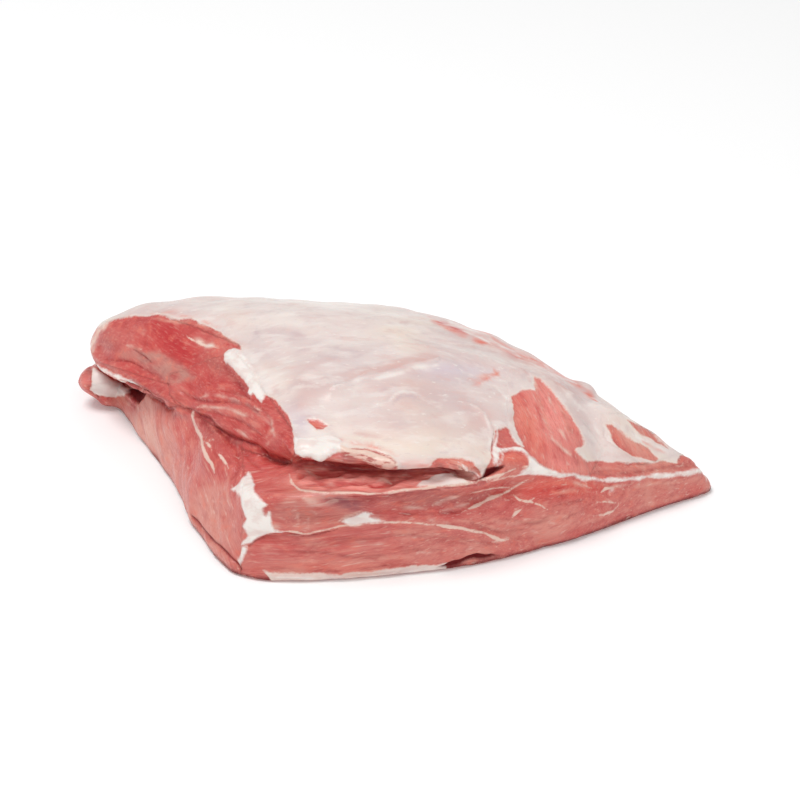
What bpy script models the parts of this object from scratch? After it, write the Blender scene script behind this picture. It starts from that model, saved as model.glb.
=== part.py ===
"""A raw veal rump: a low wedge of meat, lying on its flat underside.

The lower muscles make a block with an upright front face. A domed upper muscle, covered by pale
connective tissue, lies over them like a lid. It overhangs at the far left end, and its front edge
stands clear of the block by a crevice. All of it is one piece of meat, so it is one solid.
Lengths in the tables are millimetres. +X runs to the thin end, +Y to the back, +Z up.
"""

import math

import bmesh
import bpy
import numpy as np
from mathutils import Matrix, Vector

MM = 0.001

POINTS_PER_SPAN = 8  # ring points between two stations
WALL_RINGS = 7
CAP_RINGS = 14
FLOOR_SHARE = 0.5  # where a muscle's underside turns flat, as a share of the way out to its rim
LEVEL_BELOW = 0.7 * MM  # what lies lower than this belongs to the flat underside
VOXEL = 1.6 * MM  # grid that fuses the muscles into one body
FUSE_SMOOTHING = 6
FUSE_SMOOTHING_FACTOR = 0.5
PATH_STEP = 2.0  # spacing of the points that a seam's path is measured from
MOST_TRIANGLES = 11800

# Stations run round the piece, anticlockwise seen from above, from the near left corner.
# Each one gives a point of the lower rim, a point of the upper rim above it, and how far the
# wall between them bulges outwards.
LOWER_MUSCLES = [
    # lower rim          upper rim           bulge
    ((-73, -89, 0), (-69, -79, 38), 2),
    ((-54, -94, 0), (-52, -87, 43), 1),
    ((-26, -92, 0), (-26, -88, 45), 1),
    ((3, -88, 0), (3, -85, 45), 1),
    ((36, -81, 0), (36, -76, 46), 1),
    ((64, -70, 0), (61, -61, 45), 1),
    ((84, -60, 0), (80, -54, 38), 2),
    ((101, -50, 0), (98, -44, 27), 3),
    ((132, -30, 0), (126, -30, 19), 2),
    ((160, -13, 0), (153, -13, 11), 2),
    ((148, 4, 0), (142, -2, 14), 3),
    ((124, 24, 0), (116, 14, 20), 4),
    ((98, 46, 0), (88, 34, 26), 5),
    ((60, 70, 0), (52, 56, 34), 6),
    ((3, 94, 0), (0, 78, 40), 7),
    ((-82, 106, 0), (-80, 92, 38), 7),
    ((-130, 102, 0), (-122, 90, 36), 6),
    ((-152, 84, 0), (-146, 80, 10), 2),
    ((-144, 60, 0), (-133, 55, 28), 3),
    ((-127, 23, 0), (-113, 26, 37), 4),
    ((-111, -11, 0), (-97, -6, 41), 4),
    ((-101, -41, 0), (-87, -32, 41), 4),
    ((-87, -70, 0), (-76, -58, 40), 3),
]
UPPER_MUSCLE = [
    ((-43, -64, 49), (-47, -73, 57), 0),
    ((-26, -64, 49), (-28, -75, 56), 0),
    ((3, -68, 48), (3, -79, 55), 0),
    ((20, -68, 47), (20, -79, 54), 0),
    ((44, -62, 46), (45, -71, 50), 0),
    ((61, -50, 43), (64, -58, 47), 0),
    ((77, -45, 34), (79, -52, 41), 1),
    ((96, -38, 22), (100, -43, 29), 1),
    ((124, -26, 12), (127, -29, 20), 1),
    ((149, -12, 8), (153, -13, 13), 1),
    ((140, 2, 8), (137, -3, 21), 2),
    ((118, 22, 12), (110, 12, 35), 4),
    ((95, 38, 20), (84, 26, 46), 5),
    ((58, 64, 28), (49, 46, 58), 6),
    ((3, 90, 34), (-2, 68, 62), 7),
    ((-82, 104, 36), (-86, 80, 62), 7),
    ((-134, 104, 34), (-129, 82, 57), 6),
    ((-162, 92, 28), (-151, 81, 49), 4),
    ((-161, 72, 28), (-146, 70, 50), 4),
    ((-148, 46, 32), (-130, 60, 57), 5),
    ((-124, 20, 35), (-112, 50, 62), 5),
    ((-104, -4, 37), (-94, 34, 64), 5),
    ((-86, -26, 41), (-82, 8, 63), 4),
    ((-64, -50, 46), (-64, -30, 62), 3),
]
UPPER_UNDERSIDE = 25
CENTRE = (-20, 10)
LOWER_CROWN = 46
UPPER_CROWN = 76
CAP_FULLNESS = 2.2  # how long a muscle's top stays near its crown before it falls to the rim

# Lumps fused on: centre, radii, and the turn about +Z in degrees.
LUMPS = {
    "gristle at the far left end": ((-158, 76, 14), (12, 10, 9), 15),
    "red scrap on the gristle": ((-167, 74, 15), (3, 4, 6), 0),
    "red scrap under the gristle": ((-154, 70, 5), (6, 4, 3), 0),
    "muscle behind the gristle": ((-146, 88, 18), (12, 13, 16), 0),
    "scrap on the back edge": ((95, 20, 41), (8, 4, 3), -40),
    "muscle in the left face": ((-82, -38, 26), (12, 26, 16), 28),
}

# Relief that follows a path: how far it stands out (or, below 0, cuts in), and its half width.
RELIEF = {
    "groove over the lower strip of the upper muscle": (
        -2.4, 4, [(-156, 68, 37), (-138, 50, 40), (-128, 40, 41), (-120, 30, 42), (-112, 22, 45)]
    ),
    "flap at the foot of the left face": (
        2.6, 5, [(-102, -45, 6), (-98, -58, 5), (-87, -73, 5), (-78, -86, 5)]
    ),
    "light seam of the left face": (
        -2.2, 3, [(-103, 2, 38), (-100, -6, 36), (-95, -19, 32), (-89, -41, 27)]
    ),
    "edge of the front block": (
        1.8, 3, [(-66, -76, 39), (-49, -86, 43), (-26, -88, 45), (3, -85, 45), (33, -77, 46),
                 (61, -61, 45)]
    ),
    "hollow under that edge": (
        -4.0, 5, [(-44, -91, 35), (-23, -91, 34), (3, -88, 36), (31, -80, 37), (57, -65, 36)]
    ),
    "seam between the front muscles": (
        -2.0, 3, [(-66, -90, 24), (-45, -93, 22), (-26, -92, 21), (-7, -90, 24), (12, -87, 24),
                  (27, -83, 26), (42, -79, 21), (60, -71, 12), (72, -65, 5)]
    ),
    "oblique seam of the front": (
        -1.5, 3, [(22, -81, 31), (40, -76, 35), (57, -67, 40)]
    ),
    "fat line towards the thin end": (
        1.2, 2.5, [(66, -57, 46), (80, -54, 40), (100, -44, 29), (126, -30, 20), (150, -15, 13)]
    ),
    "valley beside the swelling muscle": (
        -3.0, 7, [(92, 4, 50), (98, -18, 42), (101, -34, 31)]
    ),
    "fold in the covering": (
        1.2, 5, [(-30, -36, 70), (-10, -25, 72), (10, -11, 72), (22, -6, 71)]
    ),
    "muscle that swells through the covering": (
        3.0, 13, [(67, -21, 57), (75, -32, 50), (83, -42, 40)]
    ),
    "long muscle at the thin end": (
        1.6, 5, [(104, -17, 40), (117, -21, 32), (130, -22, 24)]
    ),
    "seam of the back face": (
        -2.4, 5, [(88, 48, 18), (50, 74, 24), (3, 96, 28), (-50, 104, 28), (-100, 108, 24)]
    ),
}


def clear_scene():
    for obj in list(bpy.data.objects):
        bpy.data.objects.remove(obj)


def smooth_point(a, b, c, d, t):
    """The point at share t between b and c on the Catmull-Rom curve through all four."""
    return 0.5 * (
        2 * b + (c - a) * t + (2 * a - 5 * b + 4 * c - d) * t**2 + (3 * b - a - 3 * c + d) * t**3
    )


def closed_curve(points, per_span):
    points = np.array(points, float)
    count = len(points)
    found = []
    for i in range(count):
        around = [points[(i + k) % count] for k in (-1, 0, 1, 2)]
        found += [smooth_point(*around, step / per_span) for step in range(per_span)]
    return np.array(found)


def open_curve(points, step):
    """Points about this far apart on a smooth curve through these points."""
    points = np.array(points, float)
    ends = np.vstack([2 * points[0] - points[1], points, 2 * points[-1] - points[-2]])
    found = []
    for i in range(1, len(ends) - 2):
        count = max(1, math.ceil(np.linalg.norm(ends[i + 1] - ends[i]) / step))
        found += [smooth_point(*ends[i - 1 : i + 3], k / count) for k in range(count)]
    return np.array([*found, points[-1]])


def add_ring(bm, ring):
    return [bm.verts.new(Vector(point) * MM) for point in ring]


def join_rings(bm, first, second):
    count = len(first)
    for i in range(count):
        j = (i + 1) % count
        bm.faces.new((first[i], first[j], second[j], second[i]))


def close_ring(bm, ring, point, upwards):
    tip = bm.verts.new(Vector(point) * MM)
    count = len(ring)
    for i in range(count):
        j = (i + 1) % count
        bm.faces.new((ring[i], ring[j], tip) if upwards else (ring[j], ring[i], tip))


def add_muscle(bm, stations, crown, underside):
    """One closed muscle: flat below, a bulging wall, and a cap that rises to its crown."""
    lower, upper = (closed_curve([s[k] for s in stations], POINTS_PER_SPAN) for k in (0, 1))
    bulge = closed_curve([[s[2]] for s in stations], POINTS_PER_SPAN)
    middle = np.array(CENTRE, float)
    outwards = upper[:, :2] - middle
    outwards /= np.linalg.norm(outwards, axis=1)[:, None]

    flat = lower.copy()
    flat[:, :2] = middle + (lower[:, :2] - middle) * FLOOR_SHARE
    flat[:, 2] = underside
    rings = [flat]
    for k in range(WALL_RINGS + 1):
        t = k / WALL_RINGS
        ring = lower + (upper - lower) * t
        ring[:, :2] += outwards * bulge * math.sin(math.pi * t)
        rings.append(ring)
    for k in range(1, CAP_RINGS):
        share = 1 - k / CAP_RINGS
        ring = upper.copy()
        ring[:, :2] = middle + (upper[:, :2] - middle) * share
        ring[:, 2] = crown + (upper[:, 2] - crown) * share**CAP_FULLNESS
        rings.append(ring)

    loops = [add_ring(bm, ring) for ring in rings]
    for first, second in zip(loops, loops[1:]):
        join_rings(bm, first, second)
    close_ring(bm, loops[0], (*CENTRE, underside), upwards=False)
    close_ring(bm, loops[-1], (*CENTRE, crown), upwards=True)


def add_lump(bm, centre, radii, turn):
    place = (
        Matrix.Translation(Vector(centre) * MM)
        @ Matrix.Rotation(math.radians(turn), 4, "Z")
        @ Matrix.Diagonal((*(Vector(radii) * MM), 1))
    )
    bmesh.ops.create_icosphere(bm, subdivisions=4, radius=1, matrix=place)


def object_from(bm, name):
    mesh = bpy.data.meshes.new(name)
    bm.to_mesh(mesh)
    bm.free()
    obj = bpy.data.objects.new(name, mesh)
    bpy.context.scene.collection.objects.link(obj)
    return obj


def apply_modifiers(obj):
    bpy.context.view_layer.update()
    graph = bpy.context.evaluated_depsgraph_get()
    obj.data = bpy.data.meshes.new_from_object(obj.evaluated_get(graph))
    obj.modifiers.clear()


def fuse(obj):
    """Makes the overlapping muscles one closed body on an even grid."""
    remesh = obj.modifiers.new("fuse", "REMESH")
    remesh.mode = "VOXEL"
    remesh.voxel_size = VOXEL
    smooth = obj.modifiers.new("soften", "SMOOTH")
    smooth.iterations = FUSE_SMOOTHING
    smooth.factor = FUSE_SMOOTHING_FACTOR
    apply_modifiers(obj)


def read_vectors(items, name):
    found = np.empty(len(items) * 3, np.float32)
    items.foreach_get(name, found)
    return found.reshape(-1, 3).astype(float)


def distance_to(path, points, reach):
    """Each point's distance to the path, in mm, or infinity where it is past 3 reaches."""
    low, high = path.min(axis=0) - 3 * reach, path.max(axis=0) + 3 * reach
    near = np.nonzero(((points > low) & (points < high)).all(axis=1))[0]
    found = np.full(len(points), np.inf)
    found[near] = np.linalg.norm(points[near, None] - path[None], axis=2).min(axis=1)
    return found


def carve_relief(mesh):
    """Moves the surface out or in along its normals, by a smooth profile across each path."""
    points = read_vectors(mesh.vertices, "co") / MM
    normals = read_vectors(mesh.vertices, "normal")
    height = np.zeros(len(points))
    for amount, half_width, path in RELIEF.values():
        away = distance_to(open_curve(path, PATH_STEP), points, half_width)
        height += amount * np.exp(-((away / half_width) ** 2))
    points += normals * height[:, None]
    mesh.vertices.foreach_set("co", (points * MM).astype(np.float32).ravel())
    mesh.update()


def flatten_underside(mesh):
    """The piece rests on a flat face: what sank below it, or ended just above, is set on it."""
    for vertex in mesh.vertices:
        if vertex.co.z < LEVEL_BELOW:
            vertex.co.z = 0.0


def keep_triangles(obj, most):
    triangles = sum(len(face.vertices) - 2 for face in obj.data.polygons)
    decimate = obj.modifiers.new("fewer faces", "DECIMATE")
    decimate.ratio = min(1.0, most / triangles)
    apply_modifiers(obj)


def centre_on_origin(obj):
    """The origin is the middle of the bounding box, on the underside."""
    corners = read_vectors(obj.data.vertices, "co")
    low, high = corners.min(axis=0), corners.max(axis=0)
    shift = Vector((-(low[0] + high[0]) / 2, -(low[1] + high[1]) / 2, -low[2]))
    obj.data.transform(Matrix.Translation(shift))


def meat_material():
    material = bpy.data.materials.new("veal")
    material.use_nodes = True
    shader = material.node_tree.nodes["Principled BSDF"]
    shader.inputs["Base Color"].default_value = (0.62, 0.22, 0.18, 1)
    shader.inputs["Roughness"].default_value = 0.45
    shader.inputs["Metallic"].default_value = 0.0
    return material


def build():
    clear_scene()
    bm = bmesh.new()
    add_muscle(bm, LOWER_MUSCLES, LOWER_CROWN, 0)
    add_muscle(bm, UPPER_MUSCLE, UPPER_CROWN, UPPER_UNDERSIDE)
    for centre, radii, turn in LUMPS.values():
        add_lump(bm, centre, radii, turn)
    rump = object_from(bm, "veal_rump")
    fuse(rump)
    carve_relief(rump.data)
    flatten_underside(rump.data)
    keep_triangles(rump, MOST_TRIANGLES)
    flatten_underside(rump.data)
    centre_on_origin(rump)
    rump.data.materials.append(meat_material())
    rump.data.shade_smooth()


build()
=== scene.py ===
"""The looks of a raw veal rump: one moist piece of meat on a pale floor.

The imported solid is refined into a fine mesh. Outlines and lines that were read off the photograph are
projected onto it through the camera. They say where film, fat, threads and muscle lie. They shape the
surface in millimetres, and they are stored on the mesh as distances and tones for the material.
What the camera doesn't see is finished by rules in space.
"""

import math

import bpy
import numpy as np
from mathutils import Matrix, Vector
from mathutils.bvhtree import BVHTree


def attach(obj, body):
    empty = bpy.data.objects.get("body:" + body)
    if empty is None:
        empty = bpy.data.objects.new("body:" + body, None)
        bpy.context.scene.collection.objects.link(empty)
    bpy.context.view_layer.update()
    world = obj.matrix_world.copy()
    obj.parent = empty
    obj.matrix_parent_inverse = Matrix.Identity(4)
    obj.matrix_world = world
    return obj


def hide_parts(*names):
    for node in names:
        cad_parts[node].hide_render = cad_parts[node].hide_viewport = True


MM = 0.001

# ---------------------------------------------------------------- camera, as in the photograph
FRAME_SIDE = 800  # pixels
LENS = 100  # mm
SENSOR = 36  # mm
CAMERA_DISTANCE = 1.2
CAMERA_RISE = math.radians(30)
CAMERA_AIM = Vector((0.00745, 0.07294, 0.0))
RIGHT = Vector((1, 0, 0))
FORWARD = Vector((0, math.cos(CAMERA_RISE), -math.sin(CAMERA_RISE)))
UP = Vector((0, math.sin(CAMERA_RISE), math.cos(CAMERA_RISE)))
CAMERA_PLACE = CAMERA_AIM - FORWARD * CAMERA_DISTANCE
FOCAL_PIXELS = FRAME_SIDE * LENS / SENSOR
MM_PER_PIXEL = CAMERA_DISTANCE / FOCAL_PIXELS / MM

# ---------------------------------------------------------------- mesh and noise
WELD = 0.01 * MM
VOXEL = 0.92 * MM
SMOOTHING = 8
FLAT_BELOW = 0.3 * MM  # what is lower than this lies on the floor
MOST_TRIANGLES = 196000
WAVES = 32  # in each field of noise
TAPER = 8  # pixels over which a line thins out to its ends
TIP = 0.3  # of its width that is left there
LEAST_FACING = 0.02  # towards the camera, for a vertex to be seen
CLEARANCE = 0.6 * MM  # of a line of sight over the surface where it starts
SEEN_BLUR = 5  # rounds, to soften the border of what is seen
SEEN_RISE = (0.15, 0.6)  # of the blurred sight, between which a vertex counts as seen
SEEN_ENOUGH = 0.3  # for the fibres of a zone
TORN_SWAY = 0.9  # pixels by which the outlines of patches stray
CALM_SWAY = 0.4  # pixels by which lines and tones stray
WANDER = 2.0  # mm by which the fibres stray
PATCHY = (0.75, 0.55, 0.1, 1.2)  # how strongly strokes show: mean, sway, least and most

# ---------------------------------------------------------------- sides that the photograph doesn't show
FILM_END_BACK = 25  # mm above the floor
FILM_END_LEFT = -146  # mm along
FILM_END_SLOPE = 0.45  # mm of distance for each mm past the end
FILM_END_WAVES = [(11, 38, 21), (2.5, 11, 22), (1, 4, 23)]  # height and size in mm, and seed
LIP_FACING = 0.2  # the backward part of a normal below which an overhang is the lip's
LIP_TOP = 60  # mm above the floor
FAR = 8  # mm inside or outside, as far as it matters
UNSEEN = 9  # mm outside every patch and line
UNDERSIDE = -0.8  # the upward part of a normal below which a face lies on the floor
OVERHANG = -0.3  # the upward part of a normal below which a face hangs over
FRONT = -0.1  # the backward part of a normal below which a face looks to the front
HIDDEN_SHADE = 0.9  # of what looks to the front or hangs over
HIDDEN_SHADE_ABOVE = 3  # mm above the floor

# ---------------------------------------------------------------- colours, as red, green, blue of 255
PALETTE = {
    "muscle": (204, 104, 97),
    "pale muscle": (222, 154, 138),
    "bright muscle": (202, 72, 68),
    "deep red": (188, 44, 47),
    # crevice and pit: painted shade, the dark of crevices, gaps, holes and the foot beside the floor;
    # crevice also draws some dark lines along the fibres
    "crevice": (148, 26, 32),
    "pit": (104, 10, 14),
    "grey film": (192, 130, 119),
    # mauve: painted shade, in the hollow under the front edge and under the overhang on the gristle
    "mauve": (134, 80, 90),
    "brown pink": (176, 100, 92),
    "orange pink": (228, 118, 98),
    "vivid muscle": (220, 74, 60),
    "film": (224, 209, 204),
    "film mauve": (204, 184, 184),
    "film cream": (236, 221, 206),
    "film rose": (216, 180, 173),
    "film lilac": (212, 199, 207),
    "membrane": (202, 158, 144),
    "fat": (240, 232, 226),
    "cream": (236, 208, 192),
    "torn muscle": (244, 152, 142),
}

# ---------------------------------------------------------------- outlines, in pixels of the photograph
FILM = {
    "skin over the top": [
        (60, 270), (745, 270), (745, 474), (706, 467), (700, 461), (690, 454), (680, 456), (678, 465),
        (670, 463), (660, 462), (650, 464), (632, 463), (613, 463), (590, 462), (583, 458), (576, 453),
        (574, 450), (560, 440), (540, 425), (524, 447), (519, 445), (513, 438), (509, 430), (505, 427),
        (498, 430), (494, 432), (493, 438), (492, 446), (491, 455), (490, 462), (488, 468), (487, 473),
        (482, 475), (480, 471), (474, 464), (467, 461), (460, 459), (451, 458), (442, 459), (436, 460),
        (431, 464), (427, 469), (420, 470), (410, 468), (399, 467), (392, 458), (384, 454), (370, 450),
        (355, 448), (345, 449), (340, 453), (334, 454), (329, 458), (321, 462), (314, 460), (309, 457),
        (302, 457), (296, 454), (295, 449), (295, 436), (292, 424), (289, 416), (283, 410), (275, 401),
        (266, 395), (265, 398), (262, 402), (258, 400), (254, 393), (251, 396), (249, 393), (250, 388),
        (245, 380), (240, 376), (233, 369), (229, 364), (226, 364), (223, 359), (224, 354), (228, 350),
        (235, 349), (241, 350), (240, 345), (229, 339), (222, 333), (213, 327), (206, 325), (195, 322),
        (184, 320), (171, 319), (163, 318), (157, 316), (150, 317), (139, 317), (131, 318), (122, 318),
        (112, 321), (105, 325), (97, 328), (92, 333), (88, 338), (60, 338),
    ],
    "membrane under the front": [
        (262, 571), (281, 573), (310, 574), (340, 573), (388, 569), (420, 566), (446, 562), (446, 590),
        (340, 600), (268, 600), (270, 580),
    ],
    "gristle": [
        (94, 367), (104, 374), (112, 380), (123, 383), (130, 388), (129, 393), (117, 397), (103, 395),
        (94, 394), (90, 390), (93, 382), (92, 374),
    ],
    "sheet under the lip": [
        (416, 487), (427, 480), (441, 474), (452, 473), (462, 477), (466, 480), (476, 481), (459, 484),
        (435, 488),
    ],
}
BARE = {  # muscle that shows through the film
    "oval muscle": [
        (512, 398), (517, 395), (523, 391), (530, 390), (535, 391), (534, 384), (533, 376), (540, 379),
        (546, 385), (555, 396), (562, 405), (569, 415), (574, 424), (579, 434), (584, 443), (582, 446),
        (574, 450), (576, 453), (583, 458), (590, 463), (590, 472), (580, 472), (563, 470), (549, 466),
        (540, 459), (532, 452), (524, 445), (519, 436), (515, 425), (513, 411),
    ],
    "long muscle at the thin end": [
        (605, 425), (611, 426), (623, 434), (635, 441), (646, 447), (651, 454), (658, 459), (655, 462),
        (643, 460), (632, 456), (620, 448), (613, 439), (608, 431),
    ],
    "muscle behind it": [
        (625, 420), (635, 424), (644, 425), (650, 431), (656, 438), (663, 443), (670, 448), (655, 442),
        (643, 435), (632, 428),
    ],
    "hole near the front corner": [(308, 420), (318, 421), (328, 427), (323, 430), (318, 430), (312, 426)],
}
FAT = {  # opaque and white
    "torn edge": [
        (223, 359), (224, 354), (228, 350), (235, 349), (241, 350), (243, 355), (247, 361), (254, 370),
        (259, 378), (260, 386), (264, 392), (266, 397), (262, 402), (258, 400), (254, 393), (251, 396),
        (249, 393), (250, 388), (245, 380), (240, 376), (233, 369), (229, 364), (226, 364),
    ],
    "hanging corner": [
        (295, 449), (297, 438), (306, 440), (323, 436), (333, 437), (341, 442), (341, 450), (334, 454),
        (329, 458), (321, 462), (314, 460), (309, 457), (302, 457), (296, 454),
    ],
    "front left corner": [
        (248, 473), (252, 478), (255, 485), (255, 490), (261, 499), (269, 505), (263, 508), (264, 513),
        (266, 517), (270, 510), (272, 512), (272, 523), (275, 529), (286, 531), (282, 533), (270, 533),
        (260, 536), (252, 542), (241, 545), (243, 540), (248, 534), (243, 524), (248, 518), (242, 507),
        (238, 495), (233, 489), (238, 486), (243, 479),
    ],
    "foot of the corner": [
        (248, 546), (243, 545), (241, 553), (237, 561), (240, 568), (243, 562), (247, 552),
    ],
    "patch over the seam": [
        (341, 522), (346, 518), (353, 516), (361, 512), (367, 511), (371, 514), (370, 518), (377, 520),
        (384, 522), (372, 524), (359, 524), (350, 526),
    ],
    "start of the fat line": [
        (527, 454), (531, 457), (535, 461), (544, 467), (552, 470), (569, 473), (584, 474), (592, 477),
        (592, 481), (586, 481), (574, 476), (560, 477), (544, 476), (530, 474), (520, 474), (512, 477),
        (522, 470), (528, 464),
    ],
    "strand over the red block": [
        (492, 451), (496, 445), (502, 448), (510, 448), (523, 447), (530, 455), (526, 457), (522, 452),
        (510, 451), (500, 453), (499, 460), (495, 465), (492, 462),
    ],
}
CREAM = {  # thinner and duller
    "band in the lip": [
        (341, 446), (352, 449), (368, 452), (384, 456), (396, 463), (388, 462), (372, 458), (354, 454),
        (341, 451),
    ],
}
TORN_LIP = [  # the layered cut edge of the film
    (340, 447), (350, 448), (366, 450), (380, 453), (391, 456), (398, 462), (398, 467), (388, 468),
    (378, 466), (366, 461), (351, 456), (340, 454),
]
TORN_MUSCLE = [  # between the crevice and the front edge
    (298, 462), (330, 466), (360, 471), (400, 472), (430, 474), (470, 478), (440, 484), (410, 488),
    (385, 490), (350, 491), (320, 490), (305, 488), (296, 478),
]
CUT_FACE = [  # muscle cut across its fibres
    (80, 325), (120, 305), (160, 303), (245, 345), (300, 440), (292, 466), (230, 447), (180, 412),
    (130, 385), (90, 365),
]
PITS = {  # holes and gaps, too deep to see into, painted dark as their shade
    "pit beside the gristle": [
        (124, 381), (131, 384), (139, 388), (147, 392), (143, 399), (138, 404), (134, 402), (130, 396),
        (126, 391),
    ],
    "undercut": [
        (434, 567), (450, 562), (466, 558), (476, 555), (491, 554), (500, 556), (485, 560), (467, 563),
        (450, 568),
    ],
    "gap beside the lip": [
        (487, 468), (495, 466), (504, 466), (497, 471), (488, 476), (478, 479), (483, 474),
    ],
}
GREY_SKIN = [  # thin skin on the cut muscle at the left
    (118, 352), (128, 346), (140, 349), (150, 352), (160, 352), (170, 358), (180, 362), (184, 368),
    (192, 375), (195, 377), (190, 381), (180, 383), (173, 384), (165, 379), (158, 373), (148, 367),
    (135, 361), (122, 358),
]

# ---------------------------------------------------------------- lines: half width in pixels, points
THREADS = {  # thin cream lines of connective tissue
    "streak in the cut": (1.1, [(187, 336), (193, 341), (201, 344), (209, 347), (219, 349)]),
    "seam of the left face": (1.6, [(191, 410), (195, 421), (201, 435), (206, 449), (211, 464), (213, 473)]),
    "mark beside that seam": (1.6, [(207, 443), (211, 447), (214, 453)]),
    "second mark beside it": (1.6, [(217, 454), (223, 459), (226, 463), (230, 469)]),
    "front edge": (
        1.2, [(289, 475), (291, 482), (300, 491), (316, 494), (334, 493), (369, 494), (405, 490), (423, 489),
              (459, 485), (478, 481), (498, 475), (518, 468), (530, 465)],
    ),
    "second edge beside it": (0.8, [(486, 481), (504, 477), (518, 474), (530, 472)]),
    "seam of the front": (
        1.0, [(280, 531), (292, 531), (307, 533), (323, 531), (339, 526), (358, 525), (384, 523), (404, 522),
              (435, 524)],
    ),
    "end of that seam": (1.7, [(432, 523), (451, 527), (468, 530), (485, 534), (501, 540), (509, 539)]),
    "oblique seam": (
        1.3, [(460, 513), (473, 507), (487, 500), (501, 495), (512, 488), (521, 483), (529, 479)],
    ),
    "upper oblique seam": (0.9, [(470, 493), (484, 490), (498, 488), (510, 487)]),
    "loop in the front": (1.4, [(512, 495), (519, 500), (529, 501), (536, 497)]),
    "second loop": (1.3, [(529, 501), (540, 505), (548, 510)]),
    "short strand": (1.5, [(512, 519), (516, 512), (523, 507)]),
    "knot in the thin end": (1.5, [(601, 492), (606, 489), (614, 488)]),
    "curl in the thin end": (1.0, [(591, 506), (597, 502), (605, 502), (613, 503), (620, 504)]),
    "strand in the thin end": (1.0, [(594, 516), (604, 514), (613, 511), (620, 505)]),
}
FAT_LINES = {  # white and thick
    "edge of the overhang": (
        2.2, [(92, 360), (97, 365), (104, 370), (112, 375), (121, 379), (130, 382), (140, 386)],
    ),
    "fat line": (
        2.3, [(586, 477), (603, 480), (620, 480), (643, 477), (666, 475), (689, 473), (704, 470),
              (708, 474)],
    ),
    "strand above the red block": (1.5, [(497, 428), (496, 438), (494, 448), (492, 460)]),
    "first fold beside the red block": (1.2, [(494, 470), (500, 464), (503, 456), (502, 449)]),
    "upper fold under the lip": (1.1, [(458, 462), (464, 467), (472, 472), (480, 476)]),
}
DARK_LINES = {  # painted shade in narrow gaps, and painted shadows
    "under the front edge": (0.9, [(346, 497), (372, 497), (405, 493), (430, 491), (460, 487), (480, 483)]),
    "under the seam of the front": (0.6, [(286, 534), (307, 536), (323, 534), (338, 529)]),
    "slit in the grey film": (0.8, [(134, 350), (143, 355), (150, 362)]),
    "under the slab": (
        1.2, [(195, 412), (207, 418), (216, 427), (228, 435), (244, 442), (253, 445), (264, 450),
              (270, 459)],
    ),
    "under the red strip": (0.9, [(144, 389), (152, 396), (160, 402), (167, 408), (176, 406)]),
    "over the red strip": (0.6, [(112, 360), (127, 361), (137, 365), (150, 372)]),
    "gap in the red strip": (0.9, [(173, 399), (177, 404), (183, 407)]),
    "over the flap": (0.9, [(192, 516), (199, 527), (208, 537), (224, 551), (236, 564), (241, 571)]),
    "step of the film": (0.6, [(493, 430), (492, 440), (492, 452)]),
    "fold under the lip": (0.6, [(446, 464), (459, 467), (470, 471), (479, 477)]),
    "second fold under the lip": (0.6, [(434, 466), (446, 470), (462, 474)]),
}
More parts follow.
